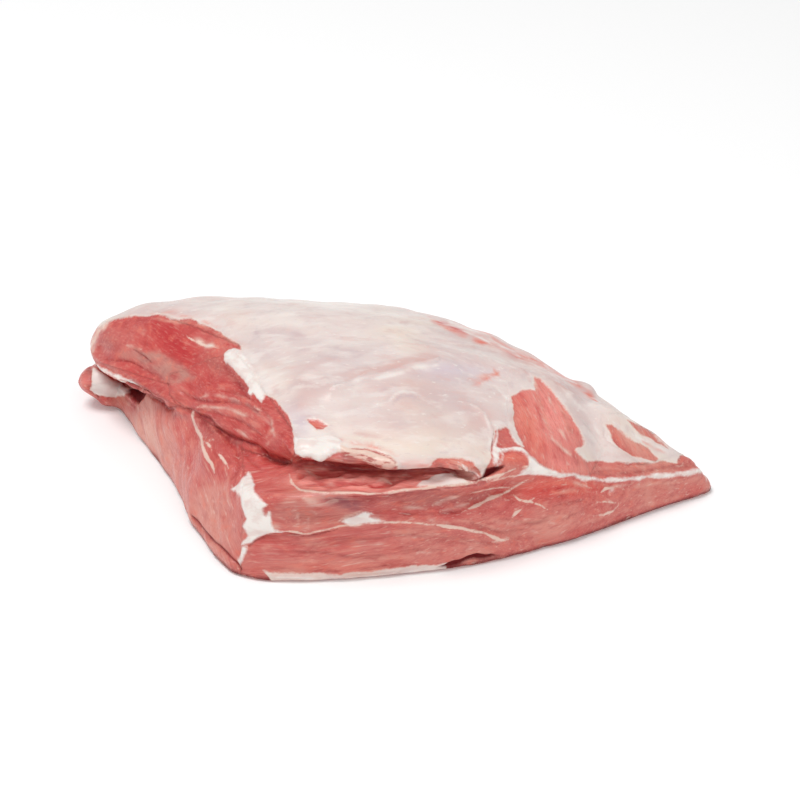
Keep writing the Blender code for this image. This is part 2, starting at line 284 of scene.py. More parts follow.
MEAT_STROKES = [  # soft lines on the muscle: colour, strength, half width, then the points
    # painted shadow beside the lens
    ("crevice", 0.6, 3.0, [(198, 415), (204, 422), (210, 430)]),
    ("deep red", 0.7, 1.6, [(540, 492), (552, 488), (566, 490), (577, 486)]),
    ("deep red", 0.6, 1.5, [(558, 498), (570, 495), (584, 496)]),
    ("orange pink", 0.9, 2.2, [(545, 484), (560, 482), (576, 483), (590, 486)]),
    ("orange pink", 0.8, 2.0, [(551, 492), (563, 493), (575, 491), (588, 492)]),
    ("cream", 0.5, 1.5, [(126, 345), (133, 346), (142, 349)]),
    ("cream", 0.9, 2.4, [(93, 355), (91, 345), (93, 337), (99, 330), (109, 324)]),
    # painted shade in the crevice under the lip
    ("crevice", 0.6, 2.6, [(340, 455), (352, 459), (368, 463), (386, 467)]),
    ("pale muscle", 0.7, 1.6, [(154, 320), (175, 321), (200, 325), (222, 334), (238, 345)]),
    ("deep red", 0.7, 1.6, [(222, 343), (230, 345), (239, 347)]),
    ("cream", 0.7, 1.5, [(198, 407), (206, 406), (213, 408), (228, 408), (244, 415), (254, 418)]),
    ("cream", 0.7, 1.5, [(254, 407), (265, 413), (272, 421), (273, 429), (267, 437)]),
    ("cream", 0.5, 1.4, [(200, 397), (213, 395), (226, 396), (240, 401)]),
    ("cream", 0.6, 1.8, [(234, 429), (242, 433), (250, 439)]),
    ("pale muscle", 0.5, 1.8, [(214, 389), (228, 389), (242, 396), (252, 404)]),
    ("pale muscle", 0.4, 1.8, [(197, 402), (212, 411), (230, 412), (248, 421), (262, 425)]),
    ("pale muscle", 0.4, 1.6, [(216, 417), (232, 424), (246, 430), (262, 434), (272, 442)]),
    ("deep red", 0.6, 2.6, [(206, 384), (222, 382), (238, 387), (250, 396)]),
    ("deep red", 0.6, 2.4, [(262, 412), (268, 423), (266, 434), (258, 440)]),
    ("deep red", 0.5, 2.4, [(206, 416), (224, 420), (240, 427), (254, 436)]),
    ("cream", 0.9, 2.6, [(190, 338), (199, 342), (208, 346), (218, 347)]),
    ("fat", 0.7, 1.5, [(198, 343), (206, 346), (214, 347)]),
    ("fat", 0.8, 1.8, [(606, 488), (613, 489), (609, 495)]),
    ("cream", 0.8, 1.8, [(603, 502), (607, 500), (612, 502)]),
    ("cream", 0.6, 1.6, [(681, 457), (690, 454), (697, 459), (700, 466)]),
    ("fat", 0.6, 1.6, [(701, 470), (706, 474), (706, 481)]),
    ("cream", 0.5, 1.5, [(228, 400), (247, 405), (259, 414), (271, 424), (274, 436), (266, 446)]),
    (
        "crevice", 0.5, 1.4,
        [(185, 396), (196, 399), (213, 402), (228, 401), (244, 405), (259, 413), (264, 420)],
    ),
    ("crevice", 0.4, 1.3, [(226, 414), (238, 420), (250, 425), (256, 431)]),
    ("brown pink", 0.8, 2.0, [(207, 423), (221, 433), (233, 440), (244, 445)]),
    ("cream", 0.7, 1.8, [(288, 466), (291, 461), (292, 458)]),
    ("cream", 0.35, 1.3, [(298, 524), (297, 515), (303, 510), (312, 509), (317, 514)]),
    ("cream", 0.35, 1.3, [(308, 516), (308, 528)]),
    ("cream", 0.8, 4.0, [(303, 498), (312, 499), (324, 500), (338, 503)]),
    ("fat", 1.0, 3.4, [(346, 523), (356, 520), (366, 516), (372, 514)]),
    ("fat", 1.0, 2.4, [(350, 525), (362, 522), (374, 519), (384, 522)]),
    ("cream", 0.6, 1.6, [(338, 521), (350, 515), (362, 510)]),
    ("fat", 0.7, 1.8, [(248, 484), (252, 494), (258, 504), (262, 514)]),
    ("cream", 0.6, 1.6, [(432, 505), (445, 500), (460, 496)]),
    ("cream", 0.5, 1.6, [(440, 511), (455, 507), (470, 503)]),
    ("cream", 0.5, 1.5, [(398, 509), (414, 507), (428, 509)]),
    ("cream", 0.5, 1.5, [(524, 527), (531, 530), (538, 532)]),
    ("pale muscle", 0.6, 1.8, [(446, 519), (466, 521), (486, 526), (508, 531)]),
    ("pale muscle", 0.6, 1.8, [(556, 494), (574, 489), (590, 492)]),
    ("crevice", 0.4, 1.5, [(545, 500), (560, 497), (575, 494), (590, 497)]),
    ("crevice", 0.4, 1.5, [(430, 533), (452, 537), (476, 541), (500, 545)]),
    ("crevice", 0.35, 1.5, [(508, 527), (530, 524), (556, 520), (580, 513)]),
    ("brown pink", 0.8, 2.4, [(338, 457), (352, 460), (368, 463), (384, 466)]),
    ("cream", 0.7, 1.5, [(454, 463), (460, 468), (468, 473), (476, 477)]),
    ("cream", 0.7, 1.5, [(446, 464), (452, 469), (460, 474), (470, 477)]),
    ("deep red", 0.7, 1.5, [(450, 464), (457, 470), (466, 475)]),
    ("brown pink", 0.9, 3.0, [(434, 463), (440, 467), (446, 471)]),
    ("cream", 0.5, 1.4, [(310, 423), (317, 425), (323, 428)]),
    ("pale muscle", 0.8, 1.8, [(119, 391), (124, 399), (131, 408)]),
    ("pale muscle", 0.8, 2.0, [(144, 392), (139, 401), (137, 411)]),
    ("cream", 0.7, 2.5, [(428, 519), (438, 520), (449, 523)]),
    ("cream", 0.6, 1.6, [(492, 542), (501, 540), (510, 537)]),
    ("cream", 0.5, 2.2, [(256, 527), (270, 526), (286, 527)]),
    ("orange pink", 0.8, 2.2, [(583, 478), (592, 482), (604, 484), (616, 485)]),
    ("cream", 0.6, 1.6, [(568, 480), (578, 483), (590, 488)]),
    ("cream", 0.6, 1.6, [(600, 482), (610, 488), (617, 486), (630, 485)]),
    ("pale muscle", 0.7, 2.0, [(628, 488), (650, 484), (680, 481), (700, 478)]),
    ("torn muscle", 0.8, 2.0, [(300, 468), (312, 475), (318, 484)]),
    # cream flecks on the torn muscle: painted wet highlights
    ("cream", 0.8, 1.5, [(306, 470), (314, 474), (321, 475)]),
    ("cream", 0.7, 1.5, [(326, 479), (334, 476), (342, 479)]),
    ("cream", 0.7, 1.5, [(349, 482), (357, 478), (364, 480)]),
    ("cream", 0.7, 1.5, [(376, 482), (384, 479), (392, 482)]),
    ("cream", 0.6, 1.4, [(322, 486), (331, 484), (340, 486)]),
    ("cream", 0.6, 1.4, [(398, 477), (406, 475), (412, 477)]),
    ("deep red", 0.8, 1.7, [(312, 480), (320, 482), (328, 481)]),
    ("deep red", 0.8, 1.7, [(338, 483), (346, 486), (354, 485)]),
    ("deep red", 0.8, 1.7, [(364, 484), (374, 487), (384, 485)]),
    ("deep red", 0.7, 1.6, [(368, 476), (376, 475), (384, 477)]),
    ("deep red", 0.7, 1.6, [(392, 485), (402, 484), (412, 481)]),
    ("cream", 0.5, 1.5, [(351, 543), (369, 541)]),
    ("cream", 0.4, 1.5, [(374, 544), (387, 541)]),
    ("cream", 0.6, 1.5, [(419, 552), (435, 554)]),
    ("pale muscle", 0.5, 2.0, [(256, 549), (280, 545), (310, 544), (340, 547)]),
    ("pale muscle", 0.5, 2.0, [(300, 562), (340, 563), (380, 559), (420, 556)]),
    ("pale muscle", 0.5, 2.0, [(390, 532), (420, 533), (450, 538), (480, 545)]),
    ("crevice", 0.45, 1.3, [(296, 554), (320, 552), (345, 556), (368, 554)]),
    ("crevice", 0.45, 1.3, [(394, 553), (405, 549), (424, 551)]),
    ("crevice", 0.5, 1.4, [(400, 514), (428, 515), (452, 512), (462, 511)]),
    ("crevice", 0.35, 1.3, [(420, 540), (440, 542), (470, 545)]),
    ("crevice", 0.5, 1.3, [(266, 569), (283, 569), (312, 571), (343, 570), (387, 566), (416, 565)]),
    ("crevice", 0.4, 1.4, [(560, 506), (574, 502), (588, 499)]),
    ("pale muscle", 0.6, 2.0, [(480, 520), (510, 524), (540, 520), (570, 516)]),
    ("pale muscle", 0.5, 2.0, [(540, 535), (580, 524), (630, 510), (690, 494)]),
    ("cream", 0.7, 1.6, [(543, 430), (548, 437), (556, 443), (563, 449), (573, 457)]),
    ("cream", 0.6, 1.5, [(541, 416), (545, 420), (549, 423)]),
    ("pale muscle", 0.6, 2.0, [(536, 392), (542, 405), (546, 420), (552, 432)]),
    ("pale muscle", 0.6, 1.8, [(556, 398), (563, 412), (570, 430), (575, 442)]),
    ("cream", 0.7, 1.5, [(548, 397), (553, 406), (556, 414)]),
    ("cream", 0.6, 1.5, [(553, 423), (561, 431), (566, 440)]),
    ("deep red", 0.4, 2.2, [(536, 396), (538, 412), (543, 428), (553, 444), (566, 456)]),
    ("deep red", 0.35, 2.0, [(560, 410), (568, 424), (574, 436)]),
    ("cream", 0.6, 1.6, [(534, 379), (536, 386), (537, 392)]),
    ("pale muscle", 0.7, 1.5, [(612, 428), (628, 440), (645, 450)]),
    ("crevice", 0.4, 1.4, [(598, 471), (630, 473), (660, 468), (690, 464)]),
    ("pale muscle", 0.7, 2.5, [(150, 400), (152, 420), (160, 445), (172, 475)]),
    ("pale muscle", 0.6, 2.0, [(161, 428), (166, 450), (178, 480)]),
    ("cream", 0.5, 1.6, [(150, 470), (170, 500), (190, 516)]),
    ("bright muscle", 0.8, 4.0, [(176, 412), (182, 436), (190, 462), (200, 486)]),
    ("pale muscle", 0.6, 2.0, [(232, 470), (226, 490), (232, 515)]),
]
FILM_STROKES = [  # the same on the film
    # the ridge over the muscle: a painted shadow above it in film rose, and painted highlights below it in
    # fat white
    ("film rose", 1.0, 2.8, [(361, 376), (385, 370), (410, 363), (438, 358)]),
    ("fat", 1.2, 1.9, [(371, 381), (394, 375), (415, 369), (440, 366)]),
    ("fat", 0.7, 1.6, [(333, 388), (352, 384), (371, 380)]),
    # the fold of the film: a painted highlight on it, painted shade beneath it, and small painted glints
    # beside it
    ("fat", 0.7, 1.5, [(388, 403), (395, 396), (402, 393), (412, 394), (422, 398)]),
    ("film mauve", 0.8, 1.6, [(393, 404), (401, 397), (411, 398), (421, 402)]),
    ("fat", 0.7, 1.4, [(377, 406), (386, 403)]),
    # painted glints on the film
    ("fat", 0.7, 1.4, [(333, 411), (345, 412)]),
    ("fat", 0.6, 1.4, [(336, 417), (345, 418)]),
    ("fat", 0.6, 1.5, [(408, 431), (414, 436)]),
    ("fat", 0.6, 1.5, [(413, 443), (422, 448)]),
    ("fat", 0.8, 1.6, [(468, 405), (477, 409), (484, 414), (488, 425), (490, 440), (489, 453)]),
    ("film mauve", 0.8, 2.5, [(256, 325), (257, 335), (263, 342)]),
    ("film mauve", 0.6, 3.0, [(270, 334), (290, 332), (305, 337)]),
    ("film rose", 0.8, 1.4, [(400, 323), (414, 320)]),
    # more of the painted shadow above the ridge
    ("film rose", 0.7, 2.0, [(341, 385), (352, 379), (361, 376)]),
    ("orange pink", 0.5, 1.5, [(150, 315), (175, 315), (200, 320), (222, 328)]),
    ("fat", 0.8, 3.0, [(236, 345), (250, 356), (262, 370), (275, 390)]),
    ("orange pink", 0.6, 1.9, [(339, 440), (351, 443), (369, 446), (387, 451), (397, 458)]),
    ("pale muscle", 0.7, 3.4, [(467, 380), (480, 379), (492, 374)]),
    ("pale muscle", 0.8, 3.0, [(494, 369), (500, 380)]),
    ("fat", 1.0, 2.2, [(434, 316), (446, 319), (460, 325), (478, 333)]),
    ("bright muscle", 0.9, 2.6, [(436, 321), (446, 324), (457, 331), (468, 336)]),
    ("bright muscle", 0.6, 2.2, [(466, 333), (484, 341), (502, 350), (520, 359)]),
    ("fat", 0.9, 2.0, [(446, 320), (462, 327), (484, 336), (506, 347)]),
    ("orange pink", 0.8, 2.4, [(537, 360), (550, 367), (563, 376)]),
    ("fat", 0.7, 1.4, [(275, 577), (310, 578), (350, 577), (400, 573), (440, 567)]),
    ("orange pink", 0.4, 1.5, [(268, 574), (300, 575), (340, 574)]),
    ("fat", 0.9, 2.2, [(476, 385), (486, 384), (497, 387)]),
    ("fat", 0.8, 2.0, [(228, 301), (270, 300), (310, 302), (350, 305)]),
    ("fat", 0.6, 1.8, [(250, 318), (290, 316), (330, 320), (370, 326)]),
    ("film mauve", 0.5, 1.8, [(300, 350), (330, 349), (360, 352)]),
    ("fat", 0.6, 1.6, [(310, 358), (330, 354), (352, 354)]),
    ("fat", 0.6, 1.6, [(430, 346), (460, 350), (490, 358), (515, 368)]),
    ("film rose", 0.6, 1.8, [(436, 340), (465, 345), (495, 353)]),
    ("fat", 0.6, 1.6, [(354, 426), (372, 430), (392, 430)]),
    ("film rose", 0.6, 1.8, [(340, 428), (360, 434), (384, 438)]),
    ("film rose", 0.6, 1.8, [(424, 412), (440, 420), (452, 432)]),
    ("fat", 0.6, 1.6, [(560, 386), (575, 402), (590, 420), (603, 440)]),
    ("film rose", 0.8, 2.0, [(497, 350), (512, 360), (524, 370), (530, 382)]),
    ("fat", 0.8, 2.2, [(497, 390), (506, 397), (510, 404)]),
    ("fat", 0.8, 1.8, [(612, 423), (628, 433), (645, 441), (663, 450), (680, 452)]),
    ("orange pink", 0.5, 1.4, [(642, 441), (655, 449), (668, 453)]),
    ("orange pink", 0.4, 1.4, [(650, 433), (668, 445), (684, 451)]),
    ("film rose", 0.6, 2.0, [(510, 412), (512, 424), (517, 436)]),
    (
        "orange pink", 0.9, 1.9,
        [(428, 317), (440, 325), (455, 333), (470, 339), (487, 345), (505, 352), (523, 360)],
    ),
    ("orange pink", 0.8, 1.7, [(450, 320), (470, 328), (490, 337), (510, 349), (527, 359)]),
    ("fat", 0.9, 1.6, [(462, 332), (480, 339), (500, 348), (520, 358)]),
    ("orange pink", 0.9, 2.0, [(520, 354), (535, 362), (548, 370), (562, 379)]),
    ("orange pink", 0.9, 2.2, [(560, 376), (575, 384), (588, 393), (598, 403)]),
    ("film rose", 0.8, 1.8, [(540, 373), (555, 382), (570, 391), (584, 402)]),
    ("orange pink", 0.6, 1.8, [(470, 387), (480, 383), (492, 377), (500, 372)]),
    # painted shadow under the overhang, on the gristle
    ("mauve", 0.55, 2.2, [(104, 369), (111, 372), (117, 377)]),
    ("fat", 0.8, 2.5, [(97, 372), (99, 380), (106, 385)]),
    ("film rose", 0.6, 2.0, [(108, 388), (114, 384), (120, 385)]),
    ("fat", 0.7, 2.0, [(420, 485), (434, 480), (446, 476), (456, 477)]),
    ("orange pink", 0.9, 1.7, [(402, 464), (414, 466), (427, 467), (436, 461)]),
]
CREASES = {  # depth in mm, half width in pixels, then the points
    "crevice under the lip": (
        2.1, 2.8, [(296, 458), (315, 464), (335, 467), (360, 468), (398, 471), (425, 471), (440, 470),
                   (465, 476), (482, 480), (491, 472), (504, 466)],
    ),
    "crease under the slab": (
        1.6, 2.8, [(186, 407), (195, 412), (207, 418), (216, 427), (228, 435), (244, 442), (256, 446),
                   (267, 457), (280, 462), (292, 461)],
    ),
    "top of the red strip": (
        0.8, 2.2, [(104, 359), (122, 360), (131, 363), (146, 370), (160, 378), (170, 385)],
    ),
    "slit in the grey film": (0.8, 1.8, [(132, 349), (143, 355), (151, 363)]),
    "bottom of the red strip": (
        1.0, 2.0, [(142, 388), (152, 396), (162, 402), (168, 409), (176, 407), (186, 408)],
    ),
    "line in the slab": (1.0, 1.8, [(180, 391), (196, 399), (213, 402), (228, 401), (244, 404), (259, 412)]),
    "second line in the slab": (0.8, 1.8, [(200, 409), (216, 413), (234, 419), (250, 428), (262, 436)]),
    "third line in the slab": (0.7, 1.6, [(226, 391), (244, 395), (258, 405), (268, 416), (271, 430)]),
    "fibre line under the loop": (0.6, 1.6, [(506, 519), (524, 523), (540, 522), (554, 515)]),
    "fibre line at the thin end": (0.5, 1.5, [(553, 508), (566, 502), (580, 500), (592, 503)]),
    "fibre line under the seam": (0.6, 1.6, [(470, 523), (486, 529), (502, 532), (524, 530)]),
    "long fibre line in the front": (0.5, 1.5, [(330, 540), (370, 538), (410, 535), (450, 539), (490, 545)]),
    "behind the torn fat": (1.0, 3.4, [(222, 362), (230, 374), (240, 386), (249, 398)]),
    "right rim of the slab": (0.5, 1.8, [(252, 400), (266, 404), (281, 413), (289, 428), (292, 444)]),
    "hollow under the front edge": (1.4, 4.0, [(325, 500), (340, 503), (370, 500), (400, 496), (440, 492)]),
    "under the front seam": (
        0.8, 1.6, [(248, 547), (256, 540), (268, 535), (286, 534), (310, 535), (328, 532)],
    ),
    "fibre line in the front": (0.5, 1.5, [(293, 551), (320, 553), (351, 556), (390, 556)]),
    "lower fibre line": (0.5, 1.5, [(400, 551), (420, 549), (445, 551)]),
    "line over the seam": (0.5, 1.6, [(400, 514), (430, 514), (462, 511)]),
    "right side of the lens": (0.8, 2.6, [(213, 425), (225, 435), (237, 449), (240, 466), (232, 480)]),
    "crease beside the corner": (0.7, 1.8, [(220, 432), (241, 448), (250, 459), (262, 470)]),
    "top of the flap": (1.2, 2.0, [(192, 515), (199, 527), (208, 537), (224, 551), (236, 564), (242, 572)]),
    "above the fat line": (0.6, 1.8, [(592, 473), (615, 475), (643, 471), (672, 469), (700, 466)]),
    "left of the fold beside the pit": (0.8, 2.0, [(119, 388), (126, 398), (134, 408)]),
    "hollow beside the seam": (0.9, 3.0, [(198, 415), (206, 424), (214, 434)]),
    "gap in the torn end": (0.9, 2.0, [(88, 386), (93, 393), (99, 396)]),
    "edge of the torn end": (0.7, 1.8, [(91, 360), (90, 368), (91, 378)]),
}
RIDGES = {  # height in mm, half width in pixels, then the points
    "ridge over the muscle": (
        0.9, 2.6, [(330, 389), (349, 385), (365, 380), (380, 376), (406, 367), (438, 361)],
    ),
    "rolled lip": (
        0.6, 2.2, [(400, 463), (420, 465), (432, 459), (450, 455), (466, 457), (478, 462), (486, 466)],
    ),
    "rolled fold under the lip": (1.2, 2.4, [(434, 465), (446, 464), (462, 467), (474, 472)]),
    "torn bundle under the lip": (1.5, 4.5, [(424, 475), (438, 475), (452, 477)]),
    "edge of the hanging corner": (0.8, 2.4, [(300, 452), (312, 455), (324, 456), (335, 449)]),
    "rim of the overhang": (
        0.7, 2.0, [(92, 352), (101, 361), (112, 366), (124, 372), (136, 379), (146, 386)],
    ),
    "torn edge of the film": (0.5, 2.0, [(226, 356), (236, 366), (247, 378), (256, 391)]),
    "fold of the film": (0.5, 2.4, [(378, 405), (388, 397), (402, 393), (419, 399)]),
    "small fold of the film": (0.4, 3.0, [(297, 378), (310, 374), (325, 378), (329, 386)]),
    "step of the film": (0.7, 2.2, [(463, 402), (476, 408), (484, 417), (491, 430)]),
}
BUMPS = {  # height in mm, centre, radii and turn in the photograph
    "lens in the left face": (1.3, (215, 448), (15, 34), -28),
    "red block": (1.2, (512, 459), (13, 7), 5),
    "lump at the tip": (0.9, (690, 460), (11, 5), 20),
    "hanging corner": (1.0, (318, 448), (22, 10), 0),
    "end of the front muscle": (1.0, (270, 515), (22, 26), 0),
    "pit in the gristle": (-1.6, (110, 371), (7, 3), 35),
    "gristle": (1.6, (110, 386), (13, 6), 15),
    "pit beside the gristle": (-4.0, (133, 387), (8, 5), 35),
    "fold beside the pit": (1.4, (128, 396), (8, 4), 60),
    "lump of the torn end": (1.2, (84, 382), (6, 5), 20),
    "lower lump of it": (1.2, (104, 397), (7, 4), 20),
    "clump of the red strip": (1.4, (171, 402), (6, 5), 0),
    "second clump of it": (1.2, (178, 392), (6, 5), 40),
    "third clump of it": (1.0, (160, 391), (8, 5), 35),
}
STEPS = {  # height of each layer in mm, and the mm inside its edge between which it rises
    "film": (0.5, -0.6, 0.6),
    "fat": (0.5, -0.6, 0.6),
    "cream": (0.25, -0.7, 0.5),
    "lines": (-0.4, -0.7, 0.5),
    "pits": (-1.6, -0.8, 1.0),
}
BUNDLES = (0.22, 0.14, 3.4, 31)  # height in mm, stretch along the fibres, size in mm and seed
COARSE_BUNDLES = (0.22, 0.3, 6, 32)
FOLDS = (0.12, 0.4, 6, 33)
SWELL = 0.5  # mm
SHRED_HEIGHT = 0.7  # mm
LIP_HEIGHT = 0.8  # mm
STILL_BELOW = (0.5, 3.0)  # mm above the floor, between which the relief comes in

# ---------------------------------------------------------------- tones
MEAT_TONES = [  # colour, strength, centre, radii and turn
    ("bright muscle", 0.9, (165, 345), (78, 27), 20),
    ("bright muscle", 0.9, (240, 410), (62, 36), 35),
    ("muscle", 0.8, (122, 336), (30, 15), -20),
    ("brown pink", 0.5, (107, 343), (12, 9), 20),
    ("pale muscle", 0.7, (91, 345), (4, 12), 0),
    ("deep red", 1.0, (175, 343), (34, 11), 48),
    ("brown pink", 0.65, (215, 365), (14, 8), 40),
    ("torn muscle", 0.9, (440, 474), (14, 5), 5),
    ("muscle", 0.6, (186, 462), (10, 34), -22),
    ("cream", 0.55, (464, 469), (14, 6), 30),
    ("cream", 0.25, (345, 482), (50, 6), 2),
    ("muscle", 0.5, (205, 334), (22, 7), 28),
    ("deep red", 0.45, (150, 383), (44, 8), 35),
    # painted shadow beside the torn fat band
    ("crevice", 0.55, (237, 381), (15, 5), 50),
    ("pale muscle", 0.25, (245, 415), (26, 8), 32),
    ("deep red", 0.8, (287, 445), (8, 12), 0),
    ("bright muscle", 0.85, (262, 462), (26, 24), 30),
    ("pale muscle", 0.95, (152, 432), (18, 42), -28),
    ("cream", 0.3, (153, 438), (8, 30), -28),
    ("pale muscle", 0.7, (208, 520), (22, 40), -36),
    ("orange pink", 0.35, (184, 440), (9, 34), -16),
    ("brown pink", 0.6, (208, 424), (13, 8), 45),
    ("bright muscle", 0.45, (214, 445), (11, 28), -28),
    ("crevice", 0.33, (215, 441), (9, 22), -28),
    ("torn muscle", 0.85, (345, 481), (56, 11), 2),
    ("torn muscle", 0.7, (405, 480), (30, 8), 0),
    # painted shade in the crevice under the lip
    ("crevice", 0.7, (350, 464), (46, 4), 5),
    ("orange pink", 0.5, (462, 463), (20, 6), 12),
    ("orange pink", 0.7, (316, 425), (9, 5), 25),
    ("brown pink", 0.4, (300, 512), (40, 12), 0),
    # painted shade in the hollow under the front edge
    ("mauve", 1.0, (346, 503), (22, 6), 14),
    ("brown pink", 0.75, (430, 500), (64, 7), -5),
    ("bright muscle", 0.45, (430, 513), (62, 7), 0),
    ("pale muscle", 0.3, (480, 517), (24, 8), 6),
    ("bright muscle", 0.9, (562, 493), (56, 16), -6),
    ("vivid muscle", 0.65, (532, 489), (22, 9), -10),
    ("vivid muscle", 0.75, (572, 488), (26, 9), 0),
    ("orange pink", 0.4, (560, 483), (34, 4), 0),
    ("orange pink", 0.85, (512, 458), (15, 6), 5),
    ("torn muscle", 0.9, (551, 415), (24, 44), -28),
    ("orange pink", 0.6, (530, 430), (10, 34), -22),
    ("torn muscle", 0.6, (565, 466), (28, 6), 14),
    ("pale muscle", 0.75, (632, 441), (30, 12), 35),
    ("pale muscle", 0.6, (640, 468), (60, 6), -3),
    ("pale muscle", 0.35, (640, 492), (70, 12), -10),
    ("pale muscle", 0.45, (528, 529), (56, 11), -10),
    ("pale muscle", 0.3, (700, 480), (14, 8), 0),
    ("pale muscle", 0.4, (375, 561), (120, 10), -4),
    ("pale muscle", 0.3, (425, 546), (50, 8), 3),
    ("orange pink", 0.4, (330, 567), (60, 5), -1),
    ("brown pink", 0.7, (89, 370), (4, 9), 0),
    ("torn muscle", 0.6, (84, 382), (7, 6), 0),
    ("deep red", 0.9, (105, 398), (7, 5), 0),
    ("deep red", 0.5, (175, 326), (50, 8), 8),
    ("deep red", 0.35, (215, 385), (22, 12), 30),
    ("bright muscle", 0.5, (430, 512), (56, 7), 0),
    ("deep red", 0.95, (132, 404), (7, 10), -14),
    ("bright muscle", 0.7, (128, 368), (26, 6), 32),
    ("deep red", 0.5, (152, 389), (22, 6), 40),
    # painted shade around the pit beside the gristle
    ("pit", 0.85, (134, 391), (9, 5), 25),
    ("muscle", 0.5, (178, 462), (14, 40), -22),
    ("crevice", 0.12, (215, 365), (14, 8), 40),
    ("pale muscle", 0.6, (146, 402), (7, 9), 0),
]
FILM_TONES = [
    ("fat", 0.85, (320, 306), (120, 17), 4),
    ("fat", 0.5, (345, 341), (34, 8), 0),
    ("fat", 0.55, (472, 350), (34, 8), 18),
    ("film mauve", 1.0, (342, 364), (36, 12), -8),
    ("film mauve", 0.45, (275, 333), (24, 7), 8),
    ("film mauve", 0.4, (258, 355), (18, 14), 30),
    ("film mauve", 0.65, (446, 398), (40, 22), 20),
    ("film rose", 0.35, (410, 425), (60, 14), 10),
    ("film lilac", 0.8, (448, 372), (46, 9), 0),
    ("film lilac", 0.9, (300, 420), (12, 24), -30),
    ("film rose", 0.8, (400, 363), (52, 4), -14),
    ("film rose", 0.6, (405, 393), (36, 12), 8),
    ("film rose", 0.8, (310, 385), (26, 16), -20),
    ("film cream", 0.9, (405, 330), (28, 9), -5),
    ("film cream", 0.8, (395, 445), (70, 14), 6),
    ("film cream", 0.5, (275, 385), (24, 16), 30),
    ("film mauve", 0.5, (460, 340), (34, 8), 18),
    ("film mauve", 0.6, (570, 400), (22, 34), -35),
    ("film rose", 0.5, (530, 365), (40, 6), 26),
    ("orange pink", 0.45, (500, 346), (66, 5), 27),
    ("film mauve", 0.4, (440, 352), (20, 8), 10),
    ("film mauve", 0.35, (310, 388), (22, 12), -10),
    ("film rose", 0.5, (300, 405), (10, 12), 30),
    ("film cream", 0.4, (420, 448), (56, 6), 4),
    ("film rose", 0.6, (172, 314), (26, 3), 0),
    ("film rose", 0.7, (625, 450), (20, 6), 30),
    ("film rose", 0.6, (480, 425), (14, 18), 0),
    ("fat", 0.8, (670, 440), (26, 9), 30),
    ("fat", 0.7, (318, 446), (26, 12), 0),
    ("fat", 0.8, (268, 384), (20, 12), 30),
    ("orange pink", 0.35, (414, 464), (12, 3), 0),
    ("film rose", 0.7, (235, 343), (12, 4), 20),
    ("membrane", 0.9, (340, 578), (110, 8), -2),
    ("fat", 0.95, (106, 382), (24, 20), 0),
    ("film rose", 0.9, (446, 480), (34, 8), -8),
]
MEAT_CLOUDS = [  # colour, strength, the noise at which it starts and is full, size in mm and seed
    ("pale muscle", 0.45, -0.2, 0.9, 20, 41),
    ("bright muscle", 0.45, 0.0, 0.9, 12, 42),
]
FILM_CLOUDS = [("film cream", 0.5, 0.0, 1.0, 24, 52)]
FILM_STREAKS = [
    ("film rose", 0.22, 0.0, 1.1, 9, 51),
    ("film mauve", 0.22, 0.1, 1.1, 6, 53),
    ("fat", 0.35, 0.0, 1.1, 8, 54),
]
FLOOR_SHADES = [("crevice", 4.2), ("pit", 2.8)]  # and the mm above the floor where each ends
FLOOR_SHADE = 0.9
DARK_BELOW = 1.2  # mm above the floor
GREY_SKIN_EDGE = (-2, 2.2)  # mm inside its outline, between which it comes in
GREY_SKIN_SHOWS = (0.92, 0.35, 0.4, 1)  # mean, sway, least and most
SHRED_TINTS = [  # colour, strength, side of the noise, and where on it the tint starts and is full
    ("torn muscle", 0.8, 1, (-0.5, 0.7)),
    ("deep red", 0.6, -1, (0.2, 0.9)),
]
CREASE_SHADE = 0.35  # for each mm of depth
MOST_CREASE_SHADE = 0.8

# ---------------------------------------------------------------- fibres
GRAIN_ZONES = {  # angle in the photograph, facing, fineness along and across them, outline
    "cut at the left": (
        30, (-0.4, -0.6, 0.7), (1.8, 0.6),
        [(80, 330), (150, 310), (240, 345), (170, 385), (90, 360)],
    ),
    "slab": (
        30, (-0.4, -0.6, 0.7), (1.3, 0.7),
        [(170, 375), (235, 350), (300, 440), (290, 465), (230, 445), (170, 395)],
    ),
    "left face": (
        62, (-0.7, -0.6, 0.3), (1.4, 0.7),
        [(90, 385), (130, 380), (240, 440), (245, 480), (240, 580), (180, 520)],
    ),
    "oval muscle": (
        58, (-0.3, -0.4, 0.8), (1.8, 0.8),
        [(508, 370), (545, 370), (602, 450), (590, 477), (555, 475), (528, 456), (506, 425)],
    ),
    "muscles at the thin end": (
        35, (-0.1, -0.4, 0.9), (1, 1),
        [(600, 415), (640, 415), (680, 455), (640, 465), (605, 440)],
    ),
}
PLAIN_GRAIN = (-1, (-0.1, -0.9, 0.4))
CUT_FACE_EDGE = (-2, 4)  # mm inside the cut, between which the long fibres end
THIN_END_RISE = 0.2  # of the fibres towards the thin end, for each mm along
THIN_END_START = 65  # mm
THIN_END_BEND = 20  # mm


def linear(name):
    """A palette colour as scene-linear red, green, blue."""
    share = np.array(PALETTE[name]) / 255
    return np.where(share <= 0.04045, share / 12.92, ((share + 0.055) / 1.055) ** 2.4)


def ease(low, high, value):
    """0 below low, 1 above high, and a smooth rise between them."""
    share = np.clip((value - low) / (high - low), 0, 1)
    return share * share * (3 - 2 * share)


# ---------------------------------------------------------------- the fine mesh
def add_modifier(obj, name, kind, **settings):
    modifier = obj.modifiers.new(name, kind)
    for key, value in settings.items():
        setattr(modifier, key, value)
    return modifier


def apply_modifiers(obj):
    bpy.context.view_layer.update()
    graph = bpy.context.evaluated_depsgraph_get()
    obj.data = bpy.data.meshes.new_from_object(obj.evaluated_get(graph))
    obj.modifiers.clear()


